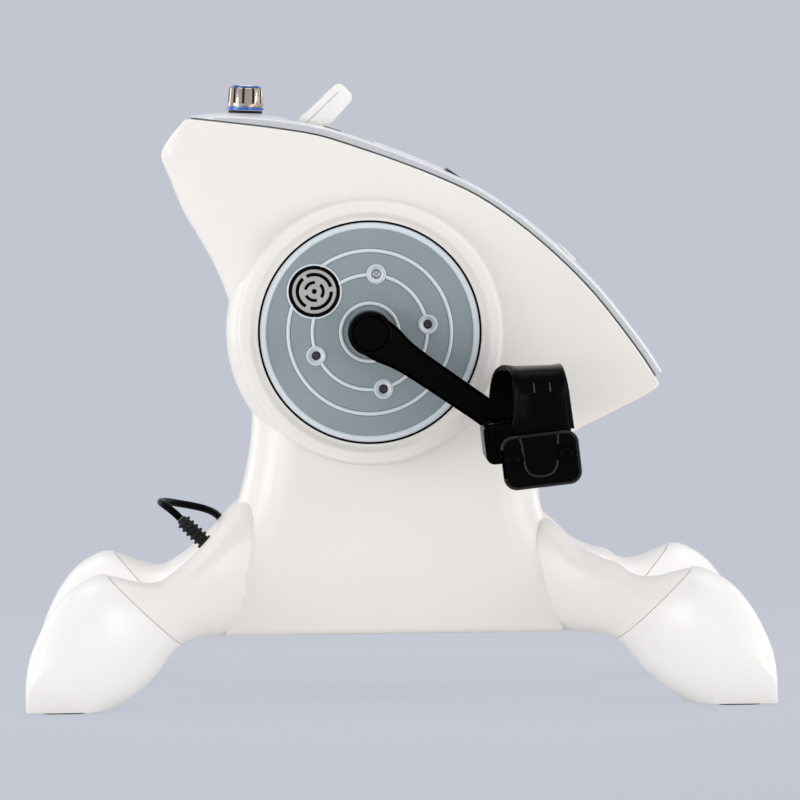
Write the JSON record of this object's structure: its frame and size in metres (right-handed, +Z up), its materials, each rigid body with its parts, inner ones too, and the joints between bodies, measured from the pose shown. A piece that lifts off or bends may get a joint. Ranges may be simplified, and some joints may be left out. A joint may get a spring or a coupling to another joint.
{
  "type": "active passive trainer",
  "caption": "White floor-standing motorised pedal trainer with splayed feet, round side discs, strapped pedals on opposed cranks, a sloping console, a folding carrying handle and a fluted knob",
  "frame": {"origin": "centre of the four feet on the floor", "axes": "+X points at the person who pedals, +Y to the side away from the picture's camera, +Z up"},
  "size_m": [0.5375, 0.4879, 0.4425],
  "materials": {
    "white_shell": "satin white moulding",
    "white_cap": "satin white moulding",
    "silver_blue": "light blue-grey moulding",
    "disc_grey": "satin blue-grey moulding",
    "black_gloss": "polished black",
    "black_rubber": "matt black rubber",
    "clear_black": "smoked window",
    "board_green": "circuit board",
    "knob_bronze": "bronze metallised plastic",
    "ring_blue": "blue metallised plastic",
    "steel": "plain steel",
    "supply_case": "folded case",
    "motor_case": "painted case"
  },
  "bodies": {
    "housing": {"base_plate": "steel", "bearing_far": "steel", "bearing_near": "steel", "body_shell_far": "white_shell", "body_shell_near": "white_shell", "console_cover": "silver_blue", "control_board": "board_green", "cord_coil": "black_rubber", "disc_cover_far": "disc_grey", "disc_cover_near": "disc_grey", "display_board": "board_green", "display_window": "clear_black", "drive_belt": "black_rubber", "foot_cap_front_far": "white_cap", "foot_cap_front_near": "white_cap", "foot_cap_rear_far": "white_cap", "foot_cap_rear_near": "white_cap", "foot_pad_front_far": "black_rubber", "foot_pad_front_near": "black_rubber", "foot_pad_rear_far": "black_rubber", "foot_pad_rear_near": "black_rubber", "handle_pivot_pin": "steel", "knob_gasket": "black_rubber", "motor": "motor_case", "plug": "black_gloss", "potentiometer": "motor_case", "power_cord": "black_rubber", "power_supply": "supply_case", "side_plate_far": "steel", "side_plate_near": "steel", "strain_relief": "black_rubber", "vent_grille_far": "disc_grey", "vent_grille_near": "disc_grey"},
    "crank": {"crankshaft": "steel", "crank_arm_near": "black_gloss", "crank_arm_far": "black_gloss", "crank_cap_near": "black_gloss", "crank_cap_far": "black_gloss", "drive_pulley": "disc_grey", "pedal_spindle_near": "steel", "pedal_spindle_far": "steel"},
    "pedal_near": {"pedal_body_near": "black_gloss", "pedal_strap_near": "black_gloss", "pedal_screw_near_1": "black_gloss", "pedal_screw_near_2": "black_gloss"},
    "pedal_far": {"pedal_body_far": "black_gloss", "pedal_strap_far": "black_gloss", "pedal_screw_far_1": "black_gloss", "pedal_screw_far_2": "black_gloss"},
    "motor_rotor": {"motor_shaft": "steel", "motor_pulley": "steel"},
    "knob": {"knob_body": "knob_bronze", "knob_top_ring": "ring_blue", "knob_base_ring": "ring_blue"},
    "handle": {"handle_upper_shell": "silver_blue", "handle_lower_shell": "white_shell"},
    "button_near": {"push_button_near": "white_cap"},
    "button_middle": {"push_button_middle": "white_cap"},
    "button_far": {"push_button_far": "white_cap"}
  },
  "joints": [
    {"name": "crank_spin", "type": "hinge", "parent": "housing", "child": "crank", "pos_m": [-0.018, 0, 0.263], "axis": [0, 1, 0], "continuous": true},
    {"name": "motor_spin", "type": "hinge", "parent": "housing", "child": "motor_rotor", "pos_m": [-0.052, 0, 0.128], "axis": [0, 1, 0], "continuous": true},
    {"name": "pedal_near_spin", "type": "hinge", "parent": "crank", "child": "pedal_near", "pos_m": [0.07866, -0.1466, 0.19532], "axis": [0, 1, 0], "continuous": true},
    {"name": "pedal_far_spin", "type": "hinge", "parent": "crank", "child": "pedal_far", "pos_m": [-0.11466, 0.1466, 0.33068], "axis": [0, 1, 0], "continuous": true},
    {"name": "knob_turn", "type": "hinge", "parent": "housing", "child": "knob", "pos_m": [-0.105, 0, 0.42014], "axis": [0.0476, 0, 0.9989], "range_deg": [-140, 140]},
    {"name": "handle_fold", "type": "hinge", "parent": "housing", "child": "handle", "pos_m": [-0.06408, 0, 0.4037], "axis": [0, 1, 0], "range_deg": [-25, 63.72]},
    {"name": "button_near_press", "type": "slide", "parent": "housing", "child": "button_near", "axis": [-0.7311, 0, -0.6823], "range_m": [0, 0.0012], "stiffness_N_per_m": 600, "springref_m": -0.001},
    {"name": "button_middle_press", "type": "slide", "parent": "housing", "child": "button_middle", "axis": [-0.7311, 0, -0.6823], "range_m": [0, 0.0012], "stiffness_N_per_m": 600, "springref_m": -0.001},
    {"name": "button_far_press", "type": "slide", "parent": "housing", "child": "button_far", "axis": [-0.7311, 0, -0.6823], "range_m": [0, 0.0012], "stiffness_N_per_m": 600, "springref_m": -0.001}
  ],
  "couplings": [
    {"joint": "motor_spin", "follows": "crank_spin", "ratio": 4.1429}
  ]
}
